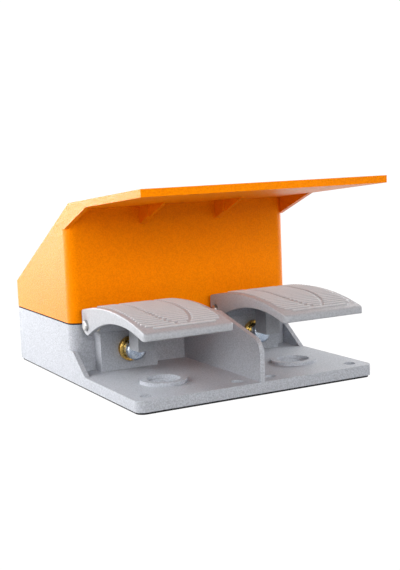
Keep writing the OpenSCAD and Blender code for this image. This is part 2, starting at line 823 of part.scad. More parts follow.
module pivot_clips() {
    clip_r = bush_outer_r - 0.4;
    color(zinc) for (side = sides) at_pivot(side) for (s = sides)
        translate([s * (clip_x + clip_t / 2), 0, 0]) difference() {
            rod_along_x(clip_r, clip_t);
            rod_along_x(clip_groove_r + 0.02, clip_t + cut);
            translate([-clip_t, -clip_groove_r * 0.8, -2 * clip_r])
                cube([2 * clip_t, clip_groove_r * 1.6, 2 * clip_r]);
        }
}

module pivot_spacers() {
    color(ivory) for (side = sides) at_pivot(side) for (s = sides)
        translate([s * (hub_w / 2 + contact_gap / 2 + spacer_len / 2), 0, 0]) difference() {
            rod_along_x(pin_r + 2.2, spacer_len);
            rod_along_x(pin_r + run_clear, spacer_len + 2 * cut);
        }
}

// ---- plungers and their guide bushes: drawn round the plunger axis ----

module at_plunger(side) {
    translate([side * pedal_pitch / 2, 0, plunger_z]) children();
}

nut_t = 5;
nut_af = 27;

module guide_bush(side) {
    color(brass) at_plunger(side) difference() {
        union() {
            rod_along_y(collar_r, bush_front_y, boss_y);
            rod_along_y(bush_r - 0.02, boss_y, bush_rear_y);
        }
        rod_along_y(plunger_r + run_clear, bush_front_y - cut, bore_rear_y);
        rod_along_y(rod_r + run_clear, bore_rear_y - cut, bush_rear_y + cut);
    }
}

module bush_nuts() {
    color(brass) for (side = sides) at_plunger(side) difference() {
        hex_along_y(nut_af, wall_y + wall_t, wall_y + wall_t + nut_t);
        rod_along_y(bush_r, wall_y + wall_t - cut, wall_y + wall_t + nut_t + cut);
    }
}

seal_groove_y = guide_y + 10;
seal_groove_w = 2.4;
seal_groove_r = plunger_r - 1.8;

module plunger(side) {
    stud_r = 3;
    color(zinc) at_plunger(side) difference() {
        union() {
            rod_along_y(plunger_r, guide_y, rod_y);
            rod_along_y(rod_r, rod_y - cut, rod_end_y);
            rod_along_y(stud_r, guide_y - cap_len + 2, guide_y + cut);
        }
        difference() {
            rod_along_y(plunger_r + cut, seal_groove_y, seal_groove_y + seal_groove_w);
            rod_along_y(seal_groove_r, seal_groove_y - cut, seal_groove_y + seal_groove_w + cut);
        }
    }
}

module plunger_cap(side) {
    edge = 1.4;
    stud_r = 3;
    color(zinc) at_plunger(side) difference() {
        union() {
            rod_along_y(cap_r, cap_y + edge, guide_y - 1.2);
            rod_along_y(cap_r - 1.2, guide_y - 1.5, guide_y);
            translate([0, cap_y, 0]) rotate([-90, 0, 0])
                cylinder(h = edge, r1 = cap_r - edge, r2 = cap_r, $fn = smooth);
        }
        rod_along_y(stud_r, guide_y - cap_len + 2, guide_y + cut);
    }
}

module plunger_seal(side) {
    seal_r = (plunger_r - seal_groove_r - 0.1) / 2;
    color(black) at_plunger(side) translate([0, seal_groove_y + seal_groove_w / 2, 0]) rotate([90, 0, 0])
        rotate_extrude($fn = smooth) translate([seal_groove_r + seal_r, 0]) circle(seal_r, $fn = 24);
}

module plunger_spring(side) {
    gap = 0.3;
    color(zinc) at_plunger(side)
        coil(plunger_r - 1.1 - spring_wire / 2, spring_wire / 2, rod_y + gap, bore_rear_y - rod_y - 2 * gap,
             spring_turns);
}

// ---- contact blocks ----

module at_block(side) {
    translate([side * pedal_pitch / 2, 0, 0]) children();
}

// the two diagonal fixing places of a contact block
module block_screw_places(side) {
    for (s = sides) translate([side * pedal_pitch / 2 + s * block_screw_x,
                               block_y + (s > 0 ? block_screw_inset : block_len - block_screw_inset), 0])
        children();
}

bracket_foot_x = block_w / 2 + bracket_t + bracket_foot / 2;

// the four fixing places of a bracket
module bracket_screw_places(side) {
    for (sx = sides, f = [0.22, 0.78])
        translate([side * pedal_pitch / 2 + sx * bracket_foot_x, block_y + f * block_len, 0]) children();
}

module block_bracket(side) {
    inset_y = 1;
    half = block_w / 2;
    color(zinc) difference() {
        at_block(side) translate([0, block_y + block_len - inset_y, 0]) rotate([90, 0, 0])
            linear_extrude(block_len - 2 * inset_y) union() {
                translate([-half - bracket_t, block_z - bracket_t]) square([2 * (half + bracket_t), bracket_t]);
                for (s = sides) {
                    translate([s * (half + bracket_t / 2) - bracket_t / 2, floor_z])
                        square([bracket_t, block_z - floor_z]);
                    translate([s * bracket_foot_x - bracket_foot / 2, floor_z])
                        square([bracket_foot, bracket_t]);
                }
            }
        bracket_screw_places(side) translate([0, 0, floor_z - cut])
            cylinder(h = bracket_t + 2 * cut, r = bracket_screw_r + 0.3, $fn = fine);
        block_screw_places(side) translate([0, 0, block_z - bracket_t - cut])
            cylinder(h = bracket_t + 2 * cut, r = block_screw_r + thread_clear, $fn = fine);
    }
}

module contact_block(side) {
    barrier_t = 1.6;
    slot_clear = 0.1;
    mid_y = (bar_ys[0] + bar_len + bar_ys[1]) / 2;
    color(black) difference() {
        at_block(side) difference() {
            union() {
                translate([-block_w / 2, block_y, block_z]) cube([block_w, block_len, shelf_h]);
                translate([-block_mid_w / 2, block_y, block_z]) cube([block_mid_w, block_len, block_h - cover_t]);
                for (s = sides) translate([s * (block_w + block_mid_w - 2) / 4 - (block_w - block_mid_w + 2) / 4,
                                           mid_y - barrier_t / 2, block_z])
                    cube([(block_w - block_mid_w + 2) / 2, barrier_t, shelf_h + 9]);
            }
            translate([-cavity_w / 2, cavity_y, cavity_z])
                cube([cavity_w, cavity_rear_y - cavity_y, block_h]);
            translate([0, 0, plunger_z]) rod_along_y(rod_r + 0.6, block_y - cut, cavity_y + cut, fine);
            for (s = sides, y = bar_ys)
                translate([s > 0 ? 0 : -block_w / 2, y - slot_clear, shelf_z])
                    cube([block_w / 2, bar_len + 2 * slot_clear, bar_t + slot_clear]);
        }
        block_screw_places(side) translate([0, 0, block_z - cut])
            cylinder(h = block_h, r = block_screw_r + 0.15, $fn = fine);
    }
}

module block_cover(side) {
    lip = 1.5;
    clear = 0.3;
    color(ivory) at_block(side) {
        translate([-block_mid_w / 2, block_y, cover_z]) cube([block_mid_w, block_len, cover_t]);
        translate([-cavity_w / 2 + clear, cavity_y + clear, cover_z - lip])
            cube([cavity_w - 2 * clear, cavity_rear_y - cavity_y - 2 * clear, lip + cut]);
    }
}

module contact_carrier(side) {
    seat = 5;
    color(ivory) at_block(side) difference() {
        union() {
            translate([-carrier_w / 2, carrier_y, plunger_z - carrier_w / 2])
                cube([carrier_w, carrier_len, carrier_w]);
            translate([0, 0, plunger_z]) rod_along_y(rod_r + 0.2, button_y, carrier_y + cut);
        }
        translate([-carrier_w, bridge_y - 0.02, plunger_z - 1])
            cube([2 * carrier_w, bridge_t + 0.04, 5.04]);
        translate([0, 0, plunger_z]) rod_along_y(seat, carrier_y + carrier_len - 4, carrier_y + carrier_len + cut);
    }
}

module contact_bridge(side) {
    color(brass) at_block(side) translate([-cavity_w / 2 + 1, bridge_y, plunger_z - 0.98])
        cube([cavity_w - 2, bridge_t, 5]);
}

module contact_spring(side) {
    gap = 0.3;
    start = carrier_y + carrier_len - 4 + gap;
    color(zinc) at_block(side) translate([0, 0, plunger_z])
        coil(3.8, 0.4, start, cavity_rear_y - gap - start, 6);
}

module terminal_bars() {
    color(brass) for (side = sides) at_block(side) for (s = sides, y = bar_ys)
        mirror([s < 0 ? 1 : 0, 0, 0]) translate([bar_in_x, y, shelf_z])
            cube([block_w / 2 - bar_in_x - 0.5, bar_len, bar_t]);
}

module terminal_screws() {
    head_r = 2.8;
    color(zinc) for (side = sides) at_block(side) for (s = sides, y = bar_ys)
        translate([s * (block_w + block_mid_w) / 4, y + bar_len / 2, shelf_z + bar_t]) difference() {
            cylinder(h = 2.4, r = head_r, $fn = fine);
            translate([-head_r, -0.4, 1.2]) cube([2 * head_r, 0.8, 2]);
        }
}

module block_screws() {
    color(zinc) for (side = sides) block_screw_places(side) translate([0, 0, shelf_z])
        pan_screw(block_screw_r, shelf_h + bracket_t, block_screw_head_r, 2.2);
}

module bracket_screws() {
    color(zinc) for (side = sides) bracket_screw_places(side) translate([0, 0, floor_z + bracket_t])
        pan_screw(bracket_screw_r, bracket_t + bracket_screw_depth - 0.5, 3.8, 2.6);
}

// ---- earth terminal ----

module earth_clamp() {
    color(brass) translate([0, earth_y, floor_z + 6]) difference() {
        translate([-6, -6, 0]) cube([12, 12, 1.5]);
        translate([0, 0, -cut]) cylinder(h = 1.5 + 2 * cut, r = hood_screw_r + 0.2, $fn = fine);
    }
}

module earth_screw() {
    color(zinc) translate([0, earth_y, floor_z + 7.5]) pan_screw(hood_screw_r, 9, 4.6, 3);
}

// ---- cable entries in the rear wall ----

module at_entry(side) {
    translate([side * entry_span / 2, 0, entry_z]) children();
}

gland_hex_af = entry_d + 5;
gland_hex_t = 6;
gland_y = rear_y + entry_seal_t;
dome_y = gland_y + gland_hex_t;
dome_len = 14;

module cable_gland() {
    color(black) at_entry(-1) difference() {
        union() {
            rod_along_y(entry_r - 0.1, rear_y - entry_thread_len, gland_y + cut);
            hex_along_y(gland_hex_af, gland_y, dome_y);
            rod_along_y(entry_r - 0.5, dome_y - cut, dome_y + dome_len - 6);
        }
        rod_along_y(gland_cable_r + 2.5, rear_y - entry_thread_len - cut, dome_y + dome_len);
    }
}

module gland_dome_nut() {
    taper = 5;
    color(black) at_entry(-1) difference() {
        union() {
            hex_along_y(gland_hex_af - 1, dome_y + 0.3, dome_y + dome_len - taper);
            translate([0, dome_y + dome_len - taper, 0]) rotate([-90, 0, 0])
                cylinder(h = taper, r1 = gland_hex_af / 2 - 0.8, r2 = gland_cable_r + 3, $fn = smooth);
        }
        rod_along_y(entry_r - 0.4, dome_y - cut, dome_y + dome_len - 5.5);
        rod_along_y(gland_cable_r + 0.6, dome_y, dome_y + dome_len + cut);
    }
}

module gland_seal() {
    color([0.15, 0.15, 0.16]) at_entry(-1) difference() {
        rod_along_y(gland_cable_r + 2.4, dome_y - 8, dome_y + dome_len - 6);
        rod_along_y(gland_cable_r, dome_y - 9, dome_y + dome_len);
    }
}

module entry_locknuts() {
    color(black) for (side = sides) at_entry(side) difference() {
        hex_along_y(gland_hex_af, entry_ring_y - locknut_t, entry_ring_y);
        rod_along_y(entry_r, entry_ring_y - locknut_t - cut, entry_ring_y + cut);
    }
}

module blanking_plug() {
    wall = 2.9;
    flange_w = 3;
    flange_t = 2.5;
    chamfer = 1.2;
    slot_w = 2;
    slot_depth = 2.1;
    face_y = gland_y + flange_t + chamfer;
    color(black) at_entry(1) difference() {
        union() {
            rod_along_y(entry_r - 0.1, rear_y - entry_thread_len, gland_y + cut);
            rod_along_y(entry_r + flange_w, gland_y, gland_y + flange_t);
            translate([0, gland_y + flange_t, 0]) rotate([-90, 0, 0])
                cylinder(h = chamfer, r1 = entry_r + flange_w, r2 = entry_r + flange_w - chamfer, $fn = smooth);
        }
        rod_along_y(entry_r - 0.1 - wall, rear_y - entry_thread_len - cut, rear_y - 1);
        translate([-entry_r * 0.7, face_y - slot_depth, -slot_w / 2])
            cube([entry_r * 1.4, slot_depth + cut, slot_w]);
    }
}

// flat sealing washers between the rear wall and the gland and plug
module entry_seals() {
    color([0.15, 0.15, 0.16]) for (side = sides) at_entry(side) difference() {
        rod_along_y(entry_r + entry_seal_w, rear_y, gland_y);
        rod_along_y(entry_r, rear_y - cut, gland_y + cut);
    }
}

base_casting();
base_mat();
cover_gasket();
hood();
hood_screws();
hood_screw_washers();
pedal(-1);  // left_pedal
pedal(1);  // right_pedal
pivot_pin(-1);  // left_pivot_pin
pivot_pin(1);  // right_pivot_pin
pivot_bushes(-1);  // left_pivot_bushes
pivot_bushes(1);  // right_pivot_bushes
pivot_spacers();
pivot_clips();
guide_bush(-1);  // left_guide_bush
guide_bush(1);  // right_guide_bush
bush_nuts();
plunger(-1);  // left_plunger
plunger(1);  // right_plunger
plunger_cap(-1);  // left_plunger_cap
plunger_cap(1);  // right_plunger_cap
plunger_seal(-1);  // left_plunger_seal
plunger_seal(1);  // right_plunger_seal
plunger_spring(-1);  // left_plunger_spring
plunger_spring(1);  // right_plunger_spring
block_bracket(-1);  // left_block_bracket
block_bracket(1);  // right_block_bracket
contact_block(-1);  // left_contact_block
contact_block(1);  // right_contact_block
block_cover(-1);  // left_block_cover
block_cover(1);  // right_block_cover
contact_carrier(-1);  // left_contact_carrier
contact_carrier(1);  // right_contact_carrier
contact_bridge(-1);  // left_contact_bridge
contact_bridge(1);  // right_contact_bridge
contact_spring(-1);  // left_contact_spring
contact_spring(1);  // right_contact_spring
terminal_bars();
terminal_screws();
block_screws();
bracket_screws();
earth_screw();
earth_clamp();
cable_gland();
gland_dome_nut();
gland_seal();
entry_locknuts();
blanking_plug();
entry_seals();
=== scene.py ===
"""Looks for the twin-pedal foot switch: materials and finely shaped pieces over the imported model, in metres."""

import json
import math

import bmesh
import bpy
from mathutils import Matrix, Vector


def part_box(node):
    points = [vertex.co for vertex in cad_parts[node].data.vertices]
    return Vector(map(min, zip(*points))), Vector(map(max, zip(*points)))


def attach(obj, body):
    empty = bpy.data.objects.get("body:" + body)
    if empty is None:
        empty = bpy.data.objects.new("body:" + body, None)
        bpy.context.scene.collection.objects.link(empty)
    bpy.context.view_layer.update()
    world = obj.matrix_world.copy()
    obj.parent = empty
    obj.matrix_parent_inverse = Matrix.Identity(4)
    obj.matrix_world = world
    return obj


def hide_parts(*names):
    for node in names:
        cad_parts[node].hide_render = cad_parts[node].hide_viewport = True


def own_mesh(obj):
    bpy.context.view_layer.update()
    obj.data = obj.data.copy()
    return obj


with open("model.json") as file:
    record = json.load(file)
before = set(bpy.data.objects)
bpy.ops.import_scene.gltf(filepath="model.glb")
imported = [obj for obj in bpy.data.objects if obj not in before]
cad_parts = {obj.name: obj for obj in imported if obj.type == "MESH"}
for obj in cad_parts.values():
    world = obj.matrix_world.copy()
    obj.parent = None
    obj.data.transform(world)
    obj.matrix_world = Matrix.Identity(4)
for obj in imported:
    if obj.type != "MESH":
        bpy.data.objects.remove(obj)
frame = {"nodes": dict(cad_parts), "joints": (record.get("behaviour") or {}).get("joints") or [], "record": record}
NODES = frame["nodes"]
RECORD = frame["record"]
BODY_OF = {n: b for b, ns in RECORD["behaviour"]["bodies"].items() for n in ns}
JOINTS = {j["name"]: j for j in frame["joints"]}
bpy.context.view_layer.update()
MM = 0.001
# points of a copied mesh closer than this are one point
WELD = 2e-6
# edges that turn by more than this many degrees are rounded
EDGE_ANGLE = 28.0
SIDES = {"left": -1, "right": 1}


# ---------------------------------------------------------------- materials

def srgb(r, g, b):
    """A colour given as 0-255 screen values, as linear light."""
    out = []
    for v in (r, g, b):
        v /= 255.0
        out.append(v / 12.92 if v <= 0.04045 else ((v + 0.055) / 1.055) ** 2.4)
    return (*out, 1.0)


class Mat:
    """A node material with Object coordinates and a short way to add and link nodes."""

    def __init__(self, name):
        self.mat = bpy.data.materials.new(name)
        self.mat.use_nodes = True
        self.tree = self.mat.node_tree
        self.shader = self.tree.nodes["Principled BSDF"]
        self.coord = self.tree.nodes.new("ShaderNodeTexCoord").outputs["Object"]

    def node(self, kind, **inputs):
        n = self.tree.nodes.new(kind)
        for key, value in inputs.items():
            n.inputs[key.replace("_", " ")].default_value = value
        return n

    def link(self, a, b):
        self.tree.links.new(a, b)

    def noise(self, scale, detail=2.0, rough=0.5, stretch=None):
        n = self.node("ShaderNodeTexNoise", Scale=scale, Detail=detail, Roughness=rough)
        if stretch:
            m = self.node("ShaderNodeMapping", Scale=stretch)
            self.link(self.coord, m.inputs["Vector"])
            self.link(m.outputs["Vector"], n.inputs["Vector"])
        else:
            self.link(self.coord, n.inputs["Vector"])
        return n.outputs["Fac"]

    def span(self, fac, low, high, to_low, to_high):
        n = self.node("ShaderNodeMapRange")
        for key, value in (("From Min", low), ("From Max", high), ("To Min", to_low), ("To Max", to_high)):
            n.inputs[key].default_value = value
        self.link(fac, n.inputs["Value"])
        return n.outputs["Result"]

    def mix(self, fac, a, b, blend="MIX"):
        n = self.tree.nodes.new("ShaderNodeMix")
        n.data_type = "RGBA"
        n.blend_type = blend
        for socket, value in ((n.inputs[0], fac), (n.inputs[6], a), (n.inputs[7], b)):
            if isinstance(value, (float, tuple)):
                socket.default_value = value
            else:
                self.link(value, socket)
        return n.outputs[2]

    def bump(self, height, depth, strength=1.0, below=None):
        n = self.node("ShaderNodeBump", Strength=strength, Distance=depth)
        self.link(height, n.inputs["Height"])
        if below is not None:
            self.link(below, n.inputs["Normal"])
        return n.outputs["Normal"]

    def set(self, **values):
        for key, value in values.items():
            self.shader.inputs[key.replace("_", " ")].default_value = value
        return self

    def use(self, **sources):
        for key, source in sources.items():
            self.link(source, self.shader.inputs[key.replace("_", " ")])
        return self


def textured_paint(name, colour, rough, grain, depth, bump_shade_share=0.1, gloss=0.5, crest=None, sheen=None):
    """Powder paint on a casting: a fine leathery skin of low bumps, painted lighter on the bumps and darker between
    them as painted highlight and painted shade, and given a crest colour, a painted highlight on raised rib crests.
    """
    m = Mat(name)
    skin = m.noise(grain, 2.0, 0.55)
    # painted highlight on the bumps and painted shade between them: the skin noise that raises the bumps also
    # lightens the colour on them
    light = tuple(min(1.0, c * (1 + bump_shade_share)) for c in colour[:3]) + (1.0,)
    dark = tuple(c * (1 - bump_shade_share) for c in colour[:3]) + (1.0,)
    base = m.mix(m.span(skin, 0.36, 0.64, 0.0, 1.0), dark, light)
    drift = m.span(m.noise(9.0, 2.0), 0.3, 0.7, 0.94, 1.0)
    base = m.mix(1.0, base, drift, "MULTIPLY")
    # painted highlight: rib crests, by the raised share, take the lighter crest colour in place of light catching
    # them
    if crest:
        raised = m.tree.nodes.new("ShaderNodeAttribute")
        raised.attribute_name = "raised"
        base = m.mix(raised.outputs["Fac"], base, crest)
    m.use(Base_Color=base)
    peel = m.bump(skin, depth, 1.0)
    fine = m.bump(m.noise(grain * 2.7, 1.0, 0.5), depth * 0.25, 0.7, below=peel)
    m.use(Normal=fine)
    m.use(Roughness=m.span(m.noise(grain * 0.6, 2.0), 0.3, 0.7, rough - 0.06, rough + 0.08))
    m.set(Specular_IOR_Level=gloss)
    if sheen:
        m.set(Specular_Tint=sheen)
    return m.mat


ORANGE = textured_paint("hood_paint", srgb(255, 136, 2), 0.34, 780.0, 0.0005, 0.12, 0.4, sheen=srgb(255, 150, 20))
GREY = textured_paint("base_paint", srgb(176, 179, 186), 0.4, 780.0, 0.0004, 0.16, 0.3)
# the pedal paint's last colour is a painted highlight on the crests of its ribs
PEDAL = textured_paint("pedal_paint", srgb(164, 166, 171), 0.38, 620.0, 0.0002, 0.1, 0.45, srgb(198, 198, 200))


def rubber(name, colour, rough=0.75):
    m = Mat(name)
    m.use(Base_Color=m.mix(m.span(m.noise(60.0, 3.0), 0.3, 0.7, 0.0, 1.0), colour,
                           tuple(min(1.0, c * 1.6) for c in colour[:3]) + (1.0,)))
    m.use(Normal=m.bump(m.noise(1500.0, 2.0), 0.00005, 0.7))
    m.set(Roughness=rough, Specular_IOR_Level=0.3)
    return m.mat


def metal(name, colour, tint, rough, stretch=(1.0, 40.0, 40.0), streaks=400.0):
    """Bright metal with fine turning marks and a slow change of tone."""
    m = Mat(name)
    tone = m.span(m.noise(140.0, 3.0), 0.3, 0.7, 0.0, 1.0)
    m.use(Base_Color=m.mix(tone, colour, tint))
    m.use(Roughness=m.span(m.noise(260.0, 2.0), 0.3, 0.7, rough * 0.75, rough * 1.35))
    m.use(Normal=m.bump(m.noise(streaks, 2.0, 0.5, stretch), 0.00002, 0.5))
    m.set(Metallic=1.0)
    return m.mat


def plastic(name, colour, rough=0.5):
    m = Mat(name)
    m.use(Base_Color=m.mix(m.span(m.noise(45.0, 3.0), 0.35, 0.65, 0.0, 1.0), colour,
                           tuple(min(1.0, c * 1.25) for c in colour[:3]) + (1.0,)))
    m.use(Normal=m.bump(m.noise(1300.0, 2.0), 0.00003, 0.6))
    m.set(Roughness=rough)
    return m.mat


RUBBER = rubber("mat_rubber", srgb(26, 25, 27))
GASKET = rubber("gasket_rubber", srgb(20, 16, 14), 0.85)
ZINC = metal("zinc_plate", srgb(196, 204, 212), srgb(168, 182, 200), 0.24, (40.0, 1.0, 40.0))
PIN = metal("pin_zinc", srgb(206, 204, 200), srgb(178, 180, 182), 0.3)
SPRING = metal("spring_wire", srgb(150, 152, 156), srgb(120, 122, 128), 0.35)
BRASS = metal("brass", srgb(226, 186, 104), srgb(206, 158, 74), 0.26, (40.0, 1.0, 40.0))
DARK_STEEL = metal("clip_steel", srgb(58, 56, 54), srgb(36, 34, 34), 0.42)
BLACK_PLASTIC = plastic("black_plastic", srgb(30, 30, 32))
IVORY_PLASTIC = plastic("ivory_plastic", srgb(214, 208, 192), 0.4)

FINISH = {
    "base_casting": GREY, "hood": ORANGE, "left_pedal": PEDAL, "right_pedal": PEDAL,
    "base_mat": RUBBER, "cover_gasket": GASKET, "hood_screw_washers": RUBBER, "gland_seal": RUBBER,
    "entry_seals": RUBBER, "pivot_clips": DARK_STEEL, "pivot_spacers": IVORY_PLASTIC,
    "bush_nuts": BRASS, "terminal_bars": BRASS, "earth_clamp": BRASS, "cable_gland": BLACK_PLASTIC,
    "gland_dome_nut": BLACK_PLASTIC, "entry_locknuts": BLACK_PLASTIC, "blanking_plug": BLACK_PLASTIC,
}
FINISH_BY_END = {
    "_plunger_seal": RUBBER, "_spring": SPRING, "_pivot_bushes": BRASS, "_guide_bush": BRASS,
    "_contact_bridge": BRASS, "_block_cover": IVORY_PLASTIC, "_contact_carrier": IVORY_PLASTIC,
    "_contact_block": BLACK_PLASTIC, "_pivot_pin": PIN,
}


def finish_of(node):
    if node in FINISH:
        return FINISH[node]
    for end, material in FINISH_BY_END.items():
        if node.endswith(end):
            return material
    return ZINC


for node_name, node_object in NODES.items():
    node_object.data.materials.clear()
    node_object.data.materials.append(finish_of(node_name))


# ---------------------------------------------------------------- mesh helpers

def new_piece(name, bm, material, body, replaces=None, smooth=True):
    me = bpy.data.meshes.new(name)
    bmesh.ops.recalc_face_normals(bm, faces=bm.faces)
    bm.to_mesh(me)
    bm.free()
    for f in me.polygons:
        f.use_smooth = smooth
    me.materials.append(material)
    ob = bpy.data.objects.new(name, me)
    bpy.context.scene.collection.objects.link(ob)
    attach(ob, body)
    if replaces:
        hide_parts(replaces)
    return ob


def add_bevel(ob, width, segments=3, weight=False):
    mod = ob.modifiers.new("soft_edges", "BEVEL")
    mod.width = width
    mod.segments = segments
    mod.limit_method = "WEIGHT" if weight else "ANGLE"
    mod.angle_limit = math.radians(EDGE_ANGLE)
    mod.miter_outer = "MITER_ARC"
    mod.use_clamp_overlap = True
    return mod


def add_even_normals(ob):
    mod = ob.modifiers.new("even_normals", "WEIGHTED_NORMAL")
    mod.keep_sharp = True
    mod.weight = 60
    return mod


def clean_copy(node):
    """A welded copy of a CAD node's mesh, with the flat triangles joined into whole faces."""
    bm = bmesh.new()
    bm.from_mesh(NODES[node].data)
    bmesh.ops.remove_doubles(bm, verts=bm.verts, dist=WELD)
    bmesh.ops.dissolve_degenerate(bm, edges=bm.edges, dist=1e-6)
    bmesh.ops.dissolve_limit(bm, angle_limit=math.radians(0.4), verts=bm.verts, edges=bm.edges)
    return bm


def casting(node, width, seam_z):
    """A casting's own shape with rounded edges, nearly sharp where it meets the gasket."""
    bm = clean_copy(node)
    weights = bm.edges.layers.float.new("bevel_weight_edge")
    for edge in bm.edges:
        if edge.is_manifold and edge.calc_face_angle(0.0) > math.radians(EDGE_ANGLE):
            at_seam = all(abs(v.co.z - seam_z) < 0.1 * MM for v in edge.verts)
            edge[weights] = SEAM_SHARE if at_seam else 1.0
    ob = new_piece(node + "_form", bm, finish_of(node), BODY_OF[node], node)
    add_bevel(ob, width, weight=True)
    add_even_normals(ob)
    return ob


def dressed(node, width):
    """The CAD node's own shape with softened edges."""
    bm = clean_copy(node)
    ob = new_piece(node + "_form", bm, finish_of(node), BODY_OF[node], node)
    add_bevel(ob, width)
    add_even_normals(ob)
    return ob


# ---------------------------------------------------------------- castings

# rounding of the castings' edges, and its share on the edges along the gasket
HOOD_ROUND = 1.3 * MM
BASE_ROUND = 1.2 * MM
SEAM_SHARE = 0.3
gasket_low, gasket_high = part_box("cover_gasket")
casting("hood", HOOD_ROUND, gasket_high.z)
casting("base_casting", BASE_ROUND, gasket_low.z)

# softened edges of the smaller hard pieces
SOFT_EDGE = {
    "hood_screws": 0.3, "hood_screw_washers": 0.2, "cover_gasket": 0.3, "base_mat": 0.4, "pivot_clips": 0.15,
    "pivot_spacers": 0.3, "bush_nuts": 0.4, "cable_gland": 0.5, "gland_dome_nut": 0.6, "entry_locknuts": 0.4,
    "blanking_plug": 0.5, "entry_seals": 0.3, "terminal_bars": 0.15, "terminal_screws": 0.2, "block_screws": 0.25,
    "bracket_screws": 0.25, "earth_screw": 0.25, "earth_clamp": 0.15,
}
SOFT_EDGE_BY_END = {
    "_pivot_pin": 0.5, "_pivot_bushes": 0.2, "_guide_bush": 0.6, "_plunger": 0.3, "_plunger_cap": 0.8,
    "_block_bracket": 0.3, "_contact_block": 0.5, "_block_cover": 0.4, "_contact_carrier": 0.4,
    "_contact_bridge": 0.15,
}


def soft_edge_of(node):
    """Width in millimetres of the rounding on a node's edges, or 0 for one that keeps its own mesh."""
    if node in SOFT_EDGE:
        return SOFT_EDGE[node]
    return next((w for end, w in SOFT_EDGE_BY_END.items() if node.endswith(end)), 0)


for small_node in NODES:
    if soft_edge_of(small_node):
        dressed(small_node, soft_edge_of(small_node) * MM)


def sprung(node):
    """A coil spring as a welded copy of its CAD mesh, smooth and with a mesh of its own."""
    bm = bmesh.new()
    bm.from_mesh(NODES[node].data)
    bmesh.ops.remove_doubles(bm, verts=bm.verts, dist=WELD)
    ob = new_piece(node + "_form", bm, finish_of(node), BODY_OF[node], node)
    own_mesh(ob)


for spring_side in SIDES:
    sprung(spring_side + "_plunger_spring")
    sprung(spring_side + "_contact_spring")

# ---------------------------------------------------------------- pedals

# the pedal's side view, round its pivot, as in the CAD
TREAD_R = 270 * MM
TREAD_REACH = 50 * MM
TREAD_H = 20.4 * MM
TREAD_T = 4 * MM
ARCH_R = 149 * MM
ARCH_REACH = 76 * MM
ARCH_H = 9.6 * MM
EYE_R = 9.3 * MM
FLANGE_T = 5 * MM
LIP_DEPTH = 8 * MM
LIP_FOOT = 2.4 * MM
# ribs of the tread
RIB_PITCH = 4.6 * MM
RIB_H = 1.2 * MM
RIB_HALF = 1.1 * MM
RIB_MARGIN = 5 * MM
RIB_FRONT = 8 * MM
RIB_REAR = 22 * MM
FIELD_R = 13 * MM
TONGUE_HALF = 18 * MM
TONGUE_NOSE = 49 * MM
CHANNEL = 3.4 * MM
# rounding of the casting's edges
SIDE_ROUND = 1.1 * MM
LIP_ROUND = 2.6 * MM
LIP_UNDER_ROUND = 2.0 * MM
CORNER_ROUND = 3.2 * MM
INNER_ROUND = 2.0 * MM
REAR_ROUND = 0.9 * MM
FOOT_ROUND = 0.7 * MM
# hole through the pivot eyes, and the lug under the tread
EYE_HOLE_R = 5.55 * MM
LUG_HALF = 8.25 * MM
LUG_ROUND = 0.9 * MM
# points across the tread of each cross-section
TREAD_COLUMNS = 168


def circle_drop(r, d):
    """How far a rounded edge of radius r lies below its corner at a distance d from the edge."""
    return 0.0 if d >= r else r - math.sqrt(max(r * r - (r - d) ** 2, 0.0))


def tread_top(y):
    return TREAD_H - TREAD_R + math.sqrt(TREAD_R ** 2 - (y + TREAD_REACH) ** 2)


def flange_foot(y):
    """Height of the flange's lower edge at a place y behind the pivot."""
    if y > 0:
        return -math.sqrt(max(EYE_R ** 2 - y * y, 0.0))
    arch = ARCH_H - ARCH_R + math.sqrt(ARCH_R ** 2 - (y + ARCH_REACH) ** 2)
    return max(arch, LIP_FOOT if y < -ARCH_REACH else -EYE_R)


def ease(v, low, high):
    """0 at low and 1 at high, with soft ends."""
    t = min(max((v - low) / (high - low), 0.0), 1.0)
    return t * t * (3 - 2 * t)


def rib_shape(x, d):
    """Share of the full rib height at a place x, a distance d behind the front of the ribbed field."""
    along = abs((d - RIB_HALF) / RIB_PITCH - round((d - RIB_HALF) / RIB_PITCH)) * RIB_PITCH
    crest = 1.0 - ease(along, RIB_HALF - 0.7 * MM, RIB_HALF + 0.15 * MM)
    if crest == 0.0:
        return 0.0
    x = abs(x)
    d = (round((d - RIB_HALF) / RIB_PITCH)) * RIB_PITCH + RIB_HALF
    half = PEDAL_HALF - RIB_MARGIN - circle_drop(FIELD_R, d)
    ends = 1.0 - ease(x, half - 0.5 * MM, half + 0.5 * MM)
    nose = d - 3 * MM
    if nose <= 0:
        return crest * ends
    share = min(nose / TONGUE_NOSE, 1.0)
    middle = TONGUE_HALF * math.sqrt(1 - (1 - share) ** 2)
    groove = ease(abs(x - middle), CHANNEL / 2 - 0.5 * MM, CHANNEL / 2 + 0.5 * MM)
    return crest * ends * groove


def pedal_rows(front, rear):
    """Places along the pedal where its cross-section is drawn, front to rear."""
    rows = [front + LIP_ROUND * 1.25 * (1 - math.cos(math.radians(a))) for a in range(0, 91, 9)]
    field_end = rear - RIB_REAR - 2 * RIB_HALF
    rib = front + RIB_FRONT + RIB_HALF
    while rib < field_end:
        rows += [rib + o * MM for o in (-1.7, -1.25, -0.95, -0.65, -0.3, 0.3, 0.65, 0.95, 1.25)]
        rib += RIB_PITCH
    rows += [front + LIP_DEPTH - 0.05 * MM, front + LIP_DEPTH + 0.05 * MM]
    rows += [-12 * MM + 1.5 * MM * i for i in range(8)]
    rows += [EYE_R * math.sin(math.radians(a)) for a in range(0, 91, 9)]
    rows += [rear - REAR_ROUND * (1 - math.cos(math.radians(a))) for a in range(0, 91, 18)]
    rows.sort()
    kept = [rows[0]]
    for y in rows[1:]:
        if y - kept[-1] > 0.02 * MM:
            kept.append(y)
    return kept


